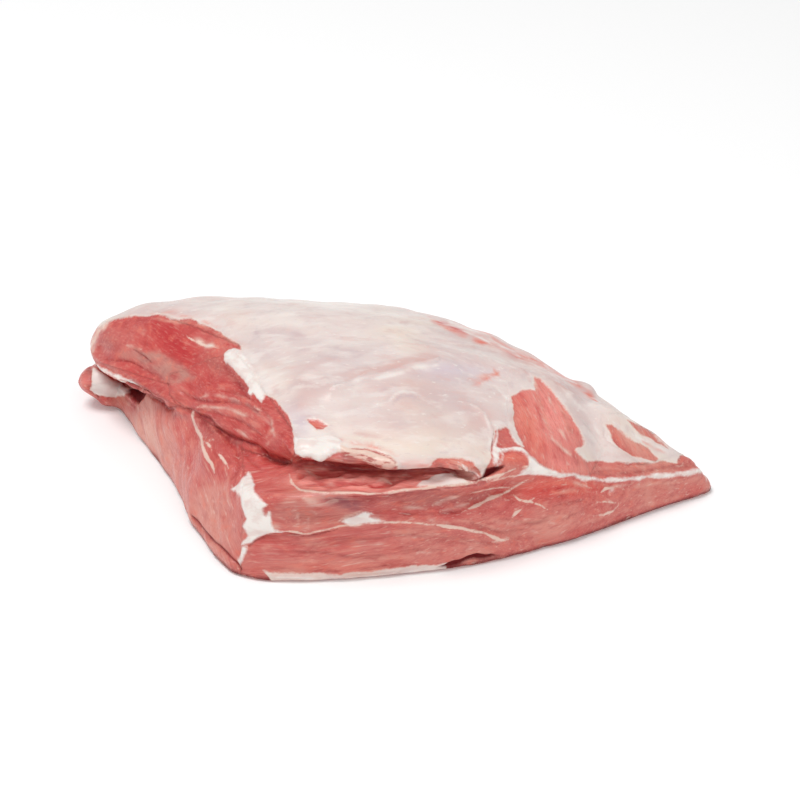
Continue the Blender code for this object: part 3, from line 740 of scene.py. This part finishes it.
def fine_copy(node, name):
    """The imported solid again, on an even fine grid, with its facets smoothed away."""
    obj = bpy.data.objects.new(name, node.data.copy())
    bpy.context.scene.collection.objects.link(obj)
    obj.data.materials.clear()
    add_modifier(obj, "weld", "WELD", merge_threshold=WELD)
    add_modifier(obj, "round", "SUBSURF", levels=1, render_levels=1)
    add_modifier(obj, "grid", "REMESH", mode="VOXEL", voxel_size=VOXEL)
    add_modifier(obj, "soften", "SMOOTH", iterations=SMOOTHING, factor=0.5)
    apply_modifiers(obj)
    return obj


def read_vectors(items, name):
    found = np.empty(len(items) * 3, np.float32)
    items.foreach_get(name, found)
    return found.reshape(-1, 3).astype(float)


def write_points(mesh, points):
    mesh.vertices.foreach_set("co", points.astype(np.float32).ravel())
    mesh.update()


def blurred(mesh, values, rounds):
    """The values, one for each vertex, averaged along the edges."""
    edges = np.empty(len(mesh.edges) * 2, np.int64)
    mesh.edges.foreach_get("vertices", edges)
    a, b = edges.reshape(-1, 2).T
    count = np.bincount(a, minlength=len(values)) + np.bincount(b, minlength=len(values))
    for _ in range(rounds):
        total = np.bincount(a, values[b], len(values)) + np.bincount(b, values[a], len(values))
        values = (values + total / np.maximum(count, 1)) / 2
    return values


# ---------------------------------------------------------------- seeing the mesh as the camera does
def pixels_of(points):
    away = points - np.array(CAMERA_PLACE)
    depth = away @ np.array(FORWARD)
    across = FRAME_SIDE / 2 + FOCAL_PIXELS * away[:, 0] / depth
    down = FRAME_SIDE / 2 - FOCAL_PIXELS * (away @ np.array(UP)) / depth
    return np.stack([across, down], axis=1)


def in_view(mesh, points, normals):
    """1 for each vertex that the camera sees, 0 for the others."""
    mesh.calc_loop_triangles()
    corners = [tuple(t.vertices) for t in mesh.loop_triangles]
    tree = BVHTree.FromPolygons([tuple(p) for p in points], corners)
    found = np.zeros(len(points))
    for i, (point, normal) in enumerate(zip(points, normals)):
        place = Vector(point)
        towards = (CAMERA_PLACE - place).normalized()
        if towards.dot(Vector(normal)) > LEAST_FACING:
            start = place + Vector(normal) * CLEARANCE + towards * CLEARANCE
            found[i] = tree.ray_cast(start, towards)[0] is None
    return found


def to_segment(pixels, a, b):
    """Each pixel's distance to the segment from a to b, and how far along it that is, from 0 to 1."""
    run = b - a
    share = np.clip(((pixels - a) @ run) / (run @ run), 0, 1)
    return np.linalg.norm(pixels - a - share[:, None] * run, axis=1), share


def inside_by(pixels, outline):
    """How far inside the outline each pixel is, in mm, or below 0 outside it."""
    corners = np.array(outline, float)
    away = np.full(len(pixels), np.inf)
    inside = np.zeros(len(pixels), bool)
    for a, b in zip(corners, np.roll(corners, -1, axis=0)):
        away = np.minimum(away, to_segment(pixels, a, b)[0])
        crosses = (a[1] > pixels[:, 1]) != (b[1] > pixels[:, 1])
        rise = b[1] - a[1] if b[1] != a[1] else 1.0
        inside ^= crosses & (pixels[:, 0] < (b[0] - a[0]) * (pixels[:, 1] - a[1]) / rise + a[0])
    return np.where(inside, away, -away) * MM_PER_PIXEL


def from_line(pixels, half_width, path):
    """Each pixel's distance to the line through these points, and the line's half width there."""
    corners = np.array(path, float)
    away = np.full(len(pixels), np.inf)
    place = np.zeros(len(pixels))
    run = 0.0
    for a, b in zip(corners, corners[1:]):
        length = np.linalg.norm(b - a)
        distance, share = to_segment(pixels, a, b)
        place = np.where(distance < away, run + share * length, place)
        away = np.minimum(distance, away)
        run += length
    width = TIP + (1 - TIP) * ease(0, TAPER, np.minimum(place, run - place))
    return away, half_width * width


def stroke(s, half_width, path):
    """1 along a soft line through these points and 0 far from it."""
    away, width = from_line(s["calm"], half_width, path)
    return np.exp(-((away / width) ** 2)) * s["seen"]


def spot(pixels, centre, radii, turn):
    """1 at the centre of a soft ellipse and 0 far from it."""
    angle = math.radians(turn)
    x, y = (pixels - np.array(centre, float)).T
    along = (x * math.cos(angle) + y * math.sin(angle)) / radii[0]
    across = (y * math.cos(angle) - x * math.sin(angle)) / radii[1]
    return np.exp(-(along**2 + across**2))


# ---------------------------------------------------------------- noise in space
def field(points, size, seed):
    """Smooth noise of about -1 to 1, with features of this size, at these points."""
    random = np.random.default_rng(seed)
    ways = random.normal(size=(WAVES, 3))
    ways /= np.linalg.norm(ways, axis=1)[:, None]
    waves = ways * (math.pi / size * random.uniform(0.5, 1.8, WAVES))[:, None]
    starts = random.uniform(0, 2 * math.pi, WAVES)
    return np.sin(points @ waves.T + starts).sum(axis=1) / math.sqrt(WAVES)


def varied(noise, mean, sway, least, most):
    """The noise as a share that sways about its mean."""
    return np.clip(mean + sway * noise, least, most)


def grain_axes(angle, facing):
    """Axes along and across the fibres that run at this angle in the photograph, on such a face."""
    turn = math.radians(angle)
    facing = Vector(facing).normalized()
    along = RIGHT * math.cos(turn) - UP * math.sin(turn)
    along = (along - FORWARD * (along.dot(facing) / FORWARD.dot(facing))).normalized()
    return np.array([along, facing.cross(along), facing])


def grain_of(mm, pixels, seen):
    """Points in mm, turned so that the first axis runs along the fibres."""
    bent = mm + WANDER * np.stack([field(mm, 30, seed) for seed in (71, 72, 73)], axis=1)
    past = np.logaddexp(0, (mm[:, 0] - THIN_END_START) / THIN_END_BEND) * THIN_END_BEND
    bent[:, 2] -= THIN_END_RISE * past
    found = bent @ grain_axes(*PLAIN_GRAIN).T
    for angle, facing, (along, across), outline in GRAIN_ZONES.values():
        near = (inside_by(pixels, outline) > 0) & (seen > SEEN_ENOUGH)
        found[near] = bent[near] @ grain_axes(angle, facing).T * (along, across, across)
    return found


# ---------------------------------------------------------------- what lies where
def survey(mesh):
    """What the relief and the tones are worked out from, with one row for each vertex."""
    points = read_vectors(mesh.vertices, "co")
    normals = read_vectors(mesh.vertices, "normal")
    seen = ease(*SEEN_RISE, blurred(mesh, in_view(mesh, points, normals), SEEN_BLUR))
    mm = points / MM
    pixels = pixels_of(points)
    ragged = np.stack([field(mm, 9, seed) + 0.5 * field(mm, 3.5, seed + 1) for seed in (11, 13)], axis=1)
    s = {"points": points, "normals": normals, "seen": seen, "mm": mm, "pixels": pixels}
    s["torn"] = pixels + TORN_SWAY * ragged
    s["calm"] = pixels + CALM_SWAY * ragged
    s["patchy"] = varied(field(mm, 5, 16), *PATCHY)
    s["grain"] = grain_of(mm, pixels, seen)
    s["torn muscle"] = ease(-1, 2, inside_by(s["torn"], TORN_MUSCLE)) * seen
    s["shreds"] = field(mm * (0.5, 1, 1), 3.5, 61)
    return s


def film_by(s):
    """How far each vertex is inside the film, in mm."""
    found = np.max([inside_by(s["torn"], outline) for outline in FILM.values()], axis=0)
    for outline in BARE.values():
        found = np.minimum(found, -inside_by(s["torn"], outline))
    return s["seen"] * found + (1 - s["seen"]) * hidden_film_by(s)


def hidden_film_by(s):
    """The same where the camera doesn't see: the film ends in a wavy edge, and none is under the lip."""
    x, _, z = s["mm"].T
    _, backward, upward = s["normals"].T
    wavy = sum(height * field(s["mm"], size, seed) for height, size, seed in FILM_END_WAVES)
    found = FILM_END_SLOPE * (np.minimum(z - FILM_END_BACK, x - FILM_END_LEFT) + wavy)
    under_the_lip = (upward < OVERHANG) & (backward < LIP_FACING) & (z < LIP_TOP)
    return np.clip(np.where(under_the_lip, -FAR, found), -FAR, FAR)


def where_seen(s, distance):
    """The distance inside, or well outside where the camera doesn't see."""
    return s["seen"] * distance - UNSEEN * (1 - s["seen"])


def patches_by(s, outlines):
    """How far each vertex is inside one of the outlines, in mm, or below 0 outside."""
    return where_seen(s, np.max([inside_by(s["torn"], outline) for outline in outlines.values()], axis=0))


def lines_by(s, lines):
    """How far each vertex is inside one of the lines, in mm, or below 0 outside."""
    uneven = 0.85 + 0.35 * field(s["mm"], 6, 15)
    found = np.full(len(s["mm"]), -np.inf)
    for half_width, path in lines.values():
        away, width = from_line(s["calm"], half_width, path)
        found = np.maximum(found, width * uneven - away)
    return where_seen(s, found * MM_PER_PIXEL)


def strokes(s, lines):
    """The sum of soft lines, each as high as its first value."""
    return sum(height * stroke(s, half_width, path) for height, half_width, path in lines.values())


def relief(s, layers):
    """How far each vertex moves out along its normal, in mm."""
    height = sum(step * ease(low, high, layers[name]) for name, (step, low, high) in STEPS.items())
    film = ease(-0.6, 0.6, layers["film"])
    fine = [(1 - film, *BUNDLES), (1 - film, *COARSE_BUNDLES), (film, *FOLDS)]
    for share, most, stretch, size, seed in fine:
        height += most * share * field(s["grain"] * (stretch, 1, 1), size, seed)
    height += SWELL * field(s["mm"], 16, 34)
    height += strokes(s, RIDGES) - strokes(s, CREASES)
    for bump, centre, radii, turn in BUMPS.values():
        height += bump * spot(s["pixels"], centre, radii, turn) * s["seen"]
    height += SHRED_HEIGHT * s["torn muscle"] * s["shreds"]
    layered = LIP_HEIGHT + 0.3 * field(s["mm"] * (0.4, 1, 1), 2.8, 36)
    height += ease(-0.8, 1.5, layers["lip"]) * layered
    return height * ease(*STILL_BELOW, s["mm"][:, 2])


# ---------------------------------------------------------------- paint
def blend(colours, name, share):
    return colours + (linear(name) - colours) * share[:, None]


def add_clouds(points, colours, clouds):
    """The colours with patches of others, placed by noise at these points."""
    for name, strength, low, high, size, seed in clouds:
        colours = blend(colours, name, strength * ease(low, high, field(points, size, seed)))
    return colours


def add_tones(s, colours, tones):
    """The colours with soft spots of others, where the camera sees them."""
    for name, strength, centre, radii, turn in tones:
        colours = blend(colours, name, strength * spot(s["calm"], centre, radii, turn) * s["seen"])
    return colours


def add_strokes(s, colours, lines):
    """The colours with soft lines of others, where the camera sees them."""
    for name, strength, half_width, path in lines:
        share = strength * s["patchy"] * stroke(s, half_width, path)
        colours = blend(colours, name, np.minimum(share, 1))
    return colours


def meat_paint(s):
    """The muscle's colour at each vertex."""
    height = s["mm"][:, 2]
    _, backward, upward = s["normals"].T
    colours = np.tile(linear("muscle"), (len(height), 1))
    colours = add_clouds(s["mm"], colours, MEAT_CLOUDS)
    colours = add_tones(s, colours, MEAT_TONES)
    veiled = ease(*GREY_SKIN_EDGE, inside_by(s["torn"], GREY_SKIN)) * s["seen"]
    colours = blend(colours, "grey film", veiled * varied(field(s["mm"], 6, 62), *GREY_SKIN_SHOWS))
    for name, strength, side, edge in SHRED_TINTS:
        share = strength * s["torn muscle"] * ease(*edge, side * s["shreds"])
        colours = blend(colours, name, share)
    colours = add_strokes(s, colours, MEAT_STROKES)
    in_creases = np.clip(CREASE_SHADE * strokes(s, CREASES), 0, MOST_CREASE_SHADE)
    colours = blend(colours, "crevice", in_creases)
    for name, top in FLOOR_SHADES:
        beside_floor = 1 - ease(DARK_BELOW, top, height)
        colours = blend(colours, name, FLOOR_SHADE * beside_floor * (upward > UNDERSIDE))
    dark = ((backward < FRONT) | (upward < OVERHANG)) & (height > HIDDEN_SHADE_ABOVE)
    return blend(colours, "deep red", HIDDEN_SHADE * (1 - s["seen"]) * dark)


def film_paint(s):
    """The colour of film and membrane at each vertex."""
    colours = np.tile(linear("film"), (len(s["mm"]), 1))
    colours = add_clouds(s["mm"], colours, FILM_CLOUDS)
    colours = add_tones(s, colours, FILM_TONES)
    colours = add_strokes(s, colours, FILM_STROKES)
    return add_clouds(s["mm"] * (0.35, 1, 1), colours, FILM_STREAKS)


def store(mesh, name, kind, values):
    layer = mesh.attributes.new(name, kind, "POINT")
    key = {"FLOAT": "value", "FLOAT_VECTOR": "vector", "FLOAT_COLOR": "color"}[kind]
    if kind == "FLOAT_COLOR":
        values = np.hstack([values, np.ones((len(values), 1))])
    layer.data.foreach_set(key, values.astype(np.float32).ravel())


def dress(obj):
    """Shapes the fine mesh and stores what its material reads."""
    mesh = obj.data
    s = survey(mesh)
    layers = {"film": film_by(s), "fat": np.maximum(patches_by(s, FAT), lines_by(s, FAT_LINES))}
    layers["cream"] = np.maximum(patches_by(s, CREAM), lines_by(s, THREADS))
    layers["lip"] = where_seen(s, inside_by(s["torn"], TORN_LIP))
    layers["lines"] = lines_by(s, DARK_LINES)
    layers["pits"] = patches_by(s, PITS)
    height = relief(s, layers)
    cut = s["seen"] * ease(*CUT_FACE_EDGE, inside_by(s["calm"], CUT_FACE))
    store(mesh, "meat_paint", "FLOAT_COLOR", meat_paint(s))
    store(mesh, "film_paint", "FLOAT_COLOR", film_paint(s))
    for name, parts in STORED_LAYERS.items():
        store(mesh, name, "FLOAT_VECTOR", np.stack([layers[part] for part in parts], axis=1))
    store(mesh, "grain", "FLOAT_VECTOR", s["grain"])
    store(mesh, "long_fibres", "FLOAT", 1 - cut)
    points = s["points"] + s["normals"] * height[:, None] * MM
    points[points[:, 2] < FLAT_BELOW, 2] = 0
    write_points(mesh, points)
    mesh.shade_smooth()


def thin_out(obj, most):
    """Fewer triangles: taken from the flat underside first, and then from all over."""
    flat = [v.index for v in obj.data.vertices if v.co.z == 0]
    obj.vertex_groups.new(name="underside").add(flat, 1.0, "REPLACE")
    for group in ("underside", ""):
        triangles = sum(len(face.vertices) - 2 for face in obj.data.polygons)
        if triangles > most:
            add_modifier(obj, "thin out", "DECIMATE", ratio=most / triangles, vertex_group=group)
            apply_modifiers(obj)
    points = read_vectors(obj.data.vertices, "co")
    points[:, 2] = np.maximum(points[:, 2], 0)
    write_points(obj.data, points)


# ---------------------------------------------------------------- material
NOISES = {  # features for each mm along and across the fibres, then detail and roughness
    "bundles": ((0.035, 0.36), 4.0, 0.55),
    "blotches": ((0.14, 0.34), 3.0, 0.55),
    "fibres": ((0.12, 1.5), 3.0, 0.55),
    "strands": ((0.05, 0.6), 2.0, 0.55),
    "mottle": ((0.10, 0.16), 4.0, 0.55),
    "veil": ((0.06, 0.16), 5.0, 0.55),
    # tiny white flecks are painted glints, and the low end of the same noise gives mauve specks
    "glints and specks": ((0.22, 0.5), 2.0, 0.55),
    "lobes": ((0.08, 0.25), 3.0, 0.55),
    "frayed": ((0.25, 0.7), 3.0, 0.55),
    "beads": ((0.5, 1.2), 2.0, 0.55),
    "fringe": ((0.5, 0.7), 3.0, 0.6),
}
SHADES = {  # the muscle's colour is multiplied by these
    "shade of the bundles": (0.82, 0.54, 0.57, 1),
    "shade of the blotches": (0.84, 0.62, 0.64, 1),
    "shade of the fibres": (0.8, 0.6, 0.62, 1),
}
MUSCLE_TINTS = [  # noise, where the tint starts and is full, its most, and its colour or shade
    ("bundles", 0.52, 0.34, 0.6, "shade of the bundles"),
    ("bundles", 0.56, 0.72, 0.3, "pale muscle"),
    ("blotches", 0.45, 0.30, 0.5, "shade of the blotches"),
    ("blotches", 0.52, 0.72, 0.4, "orange pink"),
    ("fibres", 0.50, 0.74, 0.35, "pale muscle"),
    ("fibres", 0.45, 0.28, 0.35, "shade of the fibres"),
]
FILM_TINTS = [
    ("mottle", 0.50, 0.72, 0.4, "film mauve"),
    ("veil", 0.50, 0.70, 0.5, "fat"),
    ("veil", 0.45, 0.28, 0.4, "film rose"),
    # white flecks where the noise is high are painted glints; mauve specks where it is low
    ("glints and specks", 0.64, 0.74, 0.5, "fat"),
    ("glints and specks", 0.36, 0.28, 0.25, "film mauve"),
]
FAT_TINTS = [("lobes", 0.58, 0.36, 0.4, "film rose")]
LIP_TINTS = [("frayed", 0.40, 0.60, 1.0, "brown pink")]
STRANDS = (0.58, 0.76, 0.0, 0.35)  # where they start and are full, and their least and most
CUT_STRANDS = 0.15  # of them that are left where the muscle is cut across
STORED_LAYERS = {  # attributes of the mesh, and the three distances that each holds
    "layers": ("film", "fat", "cream"),
    "edges": ("lip", "lines", "pits"),
}
LAYER_EDGES = {  # raggedness, the mm inside where a layer starts and is full, and its most
    "film": (1.0, -0.6, 0.6, 0.96),
    "rim": (1.0, 1.4, 0.3, 0.35),  # of the film
    "lip": (1.0, -0.4, 0.6, 0.65),
    "cream": (0.7, -0.35, 0.4, 0.85),
    "fat": (1.1, -0.7, 1.1, 1.0),
    "lines": (0.6, -0.4, 0.4, 0.75),
    "pits": (0.6, -0.4, 0.9, 1.0),
}
FRINGE = (1.4, -0.7)  # from 0.7 mm outwards to 0.7 mm inwards
ROUGHNESS = (0.3, 0.7, 0.30, 0.50)  # the noise where it starts and is full, its least and most
ROUGHER_FILM = 0.06
ROUGHER_PITS = 0.4
WETNESS = 0.25
BUNDLE_BUMP = 1.3  # beside 1 for the fibres
FILM_BUMP = 0.9
VEIL_BUMP = 0.5
BEAD_BUMP = 0.08
FIBRES_THROUGH_FILM = 0.12
BUMP_STRENGTH = 0.7
BUMP_DEPTH = 0.5 * MM
MOIST_FLESH = {
    "Specular_IOR_Level": 0.3,
    "Coat_Roughness": 0.14,
    "Subsurface_Weight": 0.1,
    "Subsurface_Scale": 0.003,
    "Subsurface_Radius": (1.0, 0.35, 0.25),
}


class Nodes:
    """Adds shader nodes and links them; an input is a socket, a number, a colour or a vector."""

    def __init__(self, material):
        self.tree = material.node_tree
        self.shader = self.tree.nodes["Principled BSDF"]

    def add(self, kind, inputs=(), output=0, **settings):
        node = self.tree.nodes.new(kind)
        for key, value in settings.items():
            setattr(node, key, value)
        for key, value in dict(inputs).items():
            if isinstance(value, bpy.types.NodeSocket):
                self.tree.links.new(value, node.inputs[key])
            else:
                node.inputs[key].default_value = value
        return node.outputs[output]

    def math(self, operation, a, b=0.0, c=0.0):
        return self.add("ShaderNodeMath", {0: a, 1: b, 2: c}, operation=operation)

    def attribute(self, name, output):
        return self.add("ShaderNodeAttribute", output=output, attribute_name=name)

    def parts(self, vector):
        node = self.tree.nodes.new("ShaderNodeSeparateXYZ")
        self.tree.links.new(vector, node.inputs[0])
        return node.outputs[0], node.outputs[1], node.outputs[2]

    def noise(self, vector, stretch, detail, roughness):
        """Noise from 0 to 1, with this many features for each mm along and across the fibres."""
        along, across = stretch
        scale = (along, across, across)
        vector = self.add("ShaderNodeVectorMath", {0: vector, 1: scale}, operation="MULTIPLY")
        values = {"Vector": vector, "Scale": 1.0, "Detail": detail, "Roughness": roughness}
        return self.add("ShaderNodeTexNoise", values)

    def rise(self, value, low, high, out_low, out_high):
        """A smooth change from out_low to out_high while the value goes from low to high."""
        values = {0: value, 1: low, 2: high, 3: out_low, 4: out_high}
        return self.add("ShaderNodeMapRange", values, interpolation_type="SMOOTHSTEP")

    def mix(self, share, a, b, blend_type="MIX"):
        values = {0: share, 6: a, 7: b}
        return self.add("ShaderNodeMix", values, output=2, data_type="RGBA", blend_type=blend_type)

    def finish(self, **inputs):
        for key, value in inputs.items():
            socket = self.shader.inputs[key.replace("_", " ")]
            if isinstance(value, bpy.types.NodeSocket):
                self.tree.links.new(value, socket)
            else:
                socket.default_value = value


def colour(name):
    return (*linear(name), 1.0)


def tinted(n, noises, base, tints):
    """The colour with others mixed in, or shades multiplied in, where a noise is high or low."""
    for noise, start, full, most, name in tints:
        share = n.rise(noises[noise], start, full, 0.0, most)
        if name in SHADES:
            base = n.mix(share, base, SHADES[name], "MULTIPLY")
        else:
            base = n.mix(share, base, colour(name))
    return base


def layer_shares(n, fringe):
    """How much of each layer shows, from its stored distance and a fringe of noise."""
    inside = {}
    for name, parts in STORED_LAYERS.items():
        inside.update(zip(parts, n.parts(n.attribute(name, "Vector"))))
    inside["rim"] = inside["film"]
    shares = {}
    for name, (ragged, start, full, most) in LAYER_EDGES.items():
        edge = n.math("MULTIPLY_ADD", fringe, ragged, inside[name])
        shares[name] = n.rise(edge, start, full, 0.0, most)
    return shares


def strand_share(n, noise):
    """Cream strands, which are faint where the muscle is cut across its fibres."""
    strands = n.rise(noise, *STRANDS)
    long_fibres = n.attribute("long_fibres", "Fac")
    left = n.math("MULTIPLY_ADD", long_fibres, 1 - CUT_STRANDS, CUT_STRANDS)
    return n.math("MULTIPLY", strands, left)


def layered_colour(n, noises, share):
    """The muscle's paint under film, lip, threads and fat, with the painted shade of dark lines and pits on
    top.
    """
    muscle = tinted(n, noises, n.attribute("meat_paint", "Color"), MUSCLE_TINTS)
    muscle = n.mix(strand_share(n, noises["strands"]), muscle, colour("cream"))
    film = tinted(n, noises, n.attribute("film_paint", "Color"), FILM_TINTS)
    film = n.mix(share["rim"], film, colour("film cream"))
    shown = n.mix(share["film"], muscle, film)
    shown = n.mix(share["lip"], shown, tinted(n, noises, colour("cream"), LIP_TINTS))
    shown = n.mix(share["cream"], shown, colour("cream"))
    shown = n.mix(share["fat"], shown, tinted(n, noises, colour("fat"), FAT_TINTS))
    shown = n.mix(share["lines"], shown, colour("crevice"))
    return n.mix(share["pits"], shown, colour("pit"))


def fine_bump(n, noises, covered):
    """Bundles and fibres on the muscle, a soft unevenness on film and fat, and small beads on all."""
    height = n.math("ADD", n.math("MULTIPLY", noises["bundles"], BUNDLE_BUMP), noises["fibres"])
    height = n.math("MULTIPLY", height, n.math("SUBTRACT", 1 + FIBRES_THROUGH_FILM, covered))
    film = n.math("MULTIPLY_ADD", noises["veil"], VEIL_BUMP, FILM_BUMP)
    height = n.math("MULTIPLY_ADD", covered, film, height)
    height = n.math("MULTIPLY_ADD", noises["beads"], BEAD_BUMP, height)
    return n.add("ShaderNodeBump", {"Strength": BUMP_STRENGTH, "Distance": BUMP_DEPTH, "Height": height})


def meat_material():
    material = bpy.data.materials.new("veal")
    material.use_nodes = True
    n = Nodes(material)
    grain = n.attribute("grain", "Vector")
    noises = {name: n.noise(grain, *values) for name, values in NOISES.items()}
    share = layer_shares(n, n.math("MULTIPLY_ADD", noises["fringe"], *FRINGE))
    covered = n.math("MAXIMUM", share["film"], share["fat"])
    rough = n.rise(noises["beads"], *ROUGHNESS)
    rough = n.math("MULTIPLY_ADD", covered, ROUGHER_FILM, rough)
    n.finish(
        Base_Color=layered_colour(n, noises, share),
        Roughness=n.math("MULTIPLY_ADD", share["pits"], ROUGHER_PITS, rough),
        Normal=fine_bump(n, noises, covered),
        Coat_Weight=n.math("MULTIPLY_ADD", share["pits"], -WETNESS, WETNESS),
        **MOIST_FLESH,
    )
    return material


# ---------------------------------------------------------------- stage, lights, camera
WHITE = (1, 1, 1, 1)
FLOOR_HALF = 3.0
FLOOR_GLOW = 0.08  # a lit table, as under the photograph
SKY = 0.53
SOFTBOX_SIDE = 1.0
SOFTBOXES = {  # place in m, and power
    "key light": ((-0.7, -0.1, 2.2), 28),
    "fill light": ((0.8, -1.1, 0.7), 4),
}
LIT_PLACE = Vector((0, 0, 0.03))


def add_object(name, data):
    obj = bpy.data.objects.new(name, data)
    bpy.context.scene.collection.objects.link(obj)
    return obj


def add_floor():
    mesh = bpy.data.meshes.new("floor")
    corners = [(x * FLOOR_HALF, y * FLOOR_HALF, 0) for x, y in ((-1, -1), (1, -1), (1, 1), (-1, 1))]
    mesh.from_pydata(corners, [], [(0, 1, 2, 3)])
    floor = add_object("floor", mesh)
    material = bpy.data.materials.new("pale floor")
    material.use_nodes = True
    glow = {"Emission_Color": WHITE, "Emission_Strength": FLOOR_GLOW}
    Nodes(material).finish(Base_Color=(0.95, 0.95, 0.95, 1), Roughness=0.8, **glow)
    mesh.materials.append(material)


def add_softbox(name, place, power):
    light = bpy.data.lights.new(name, "AREA")
    light.size = SOFTBOX_SIDE
    light.energy = power
    obj = add_object(name, light)
    obj.location = place
    obj.rotation_mode = "QUATERNION"
    obj.rotation_quaternion = (LIT_PLACE - Vector(place)).to_track_quat("-Z", "Y")


def light_scene():
    for name, (place, power) in SOFTBOXES.items():
        add_softbox(name, place, power)
    world = bpy.data.worlds.new("studio")
    world.use_nodes = True
    background = world.node_tree.nodes["Background"].inputs
    background["Color"].default_value = WHITE
    background["Strength"].default_value = SKY
    bpy.context.scene.world = world


def add_camera():
    lens = bpy.data.cameras.new("camera")
    lens.lens = LENS
    lens.sensor_width = SENSOR
    camera = add_object("camera", lens)
    camera.location = CAMERA_PLACE
    camera.rotation_mode = "QUATERNION"
    camera.rotation_quaternion = FORWARD.to_track_quat("-Z", "Y")
    bpy.context.scene.camera = camera


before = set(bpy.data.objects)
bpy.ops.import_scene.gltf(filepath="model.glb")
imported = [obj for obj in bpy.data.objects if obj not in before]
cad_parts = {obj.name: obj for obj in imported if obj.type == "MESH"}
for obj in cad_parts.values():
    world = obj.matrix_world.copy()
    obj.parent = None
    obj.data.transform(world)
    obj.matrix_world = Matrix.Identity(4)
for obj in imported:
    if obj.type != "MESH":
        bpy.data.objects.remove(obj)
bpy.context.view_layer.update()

bpy.context.scene.view_settings.view_transform = "Standard"
add_camera()
light_scene()
add_floor()

rump = fine_copy(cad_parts["veal_rump"], "rump")
dress(rump)
thin_out(rump, MOST_TRIANGLES)
rump.data.materials.append(meat_material())
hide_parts("veal_rump")
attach(rump, "root")
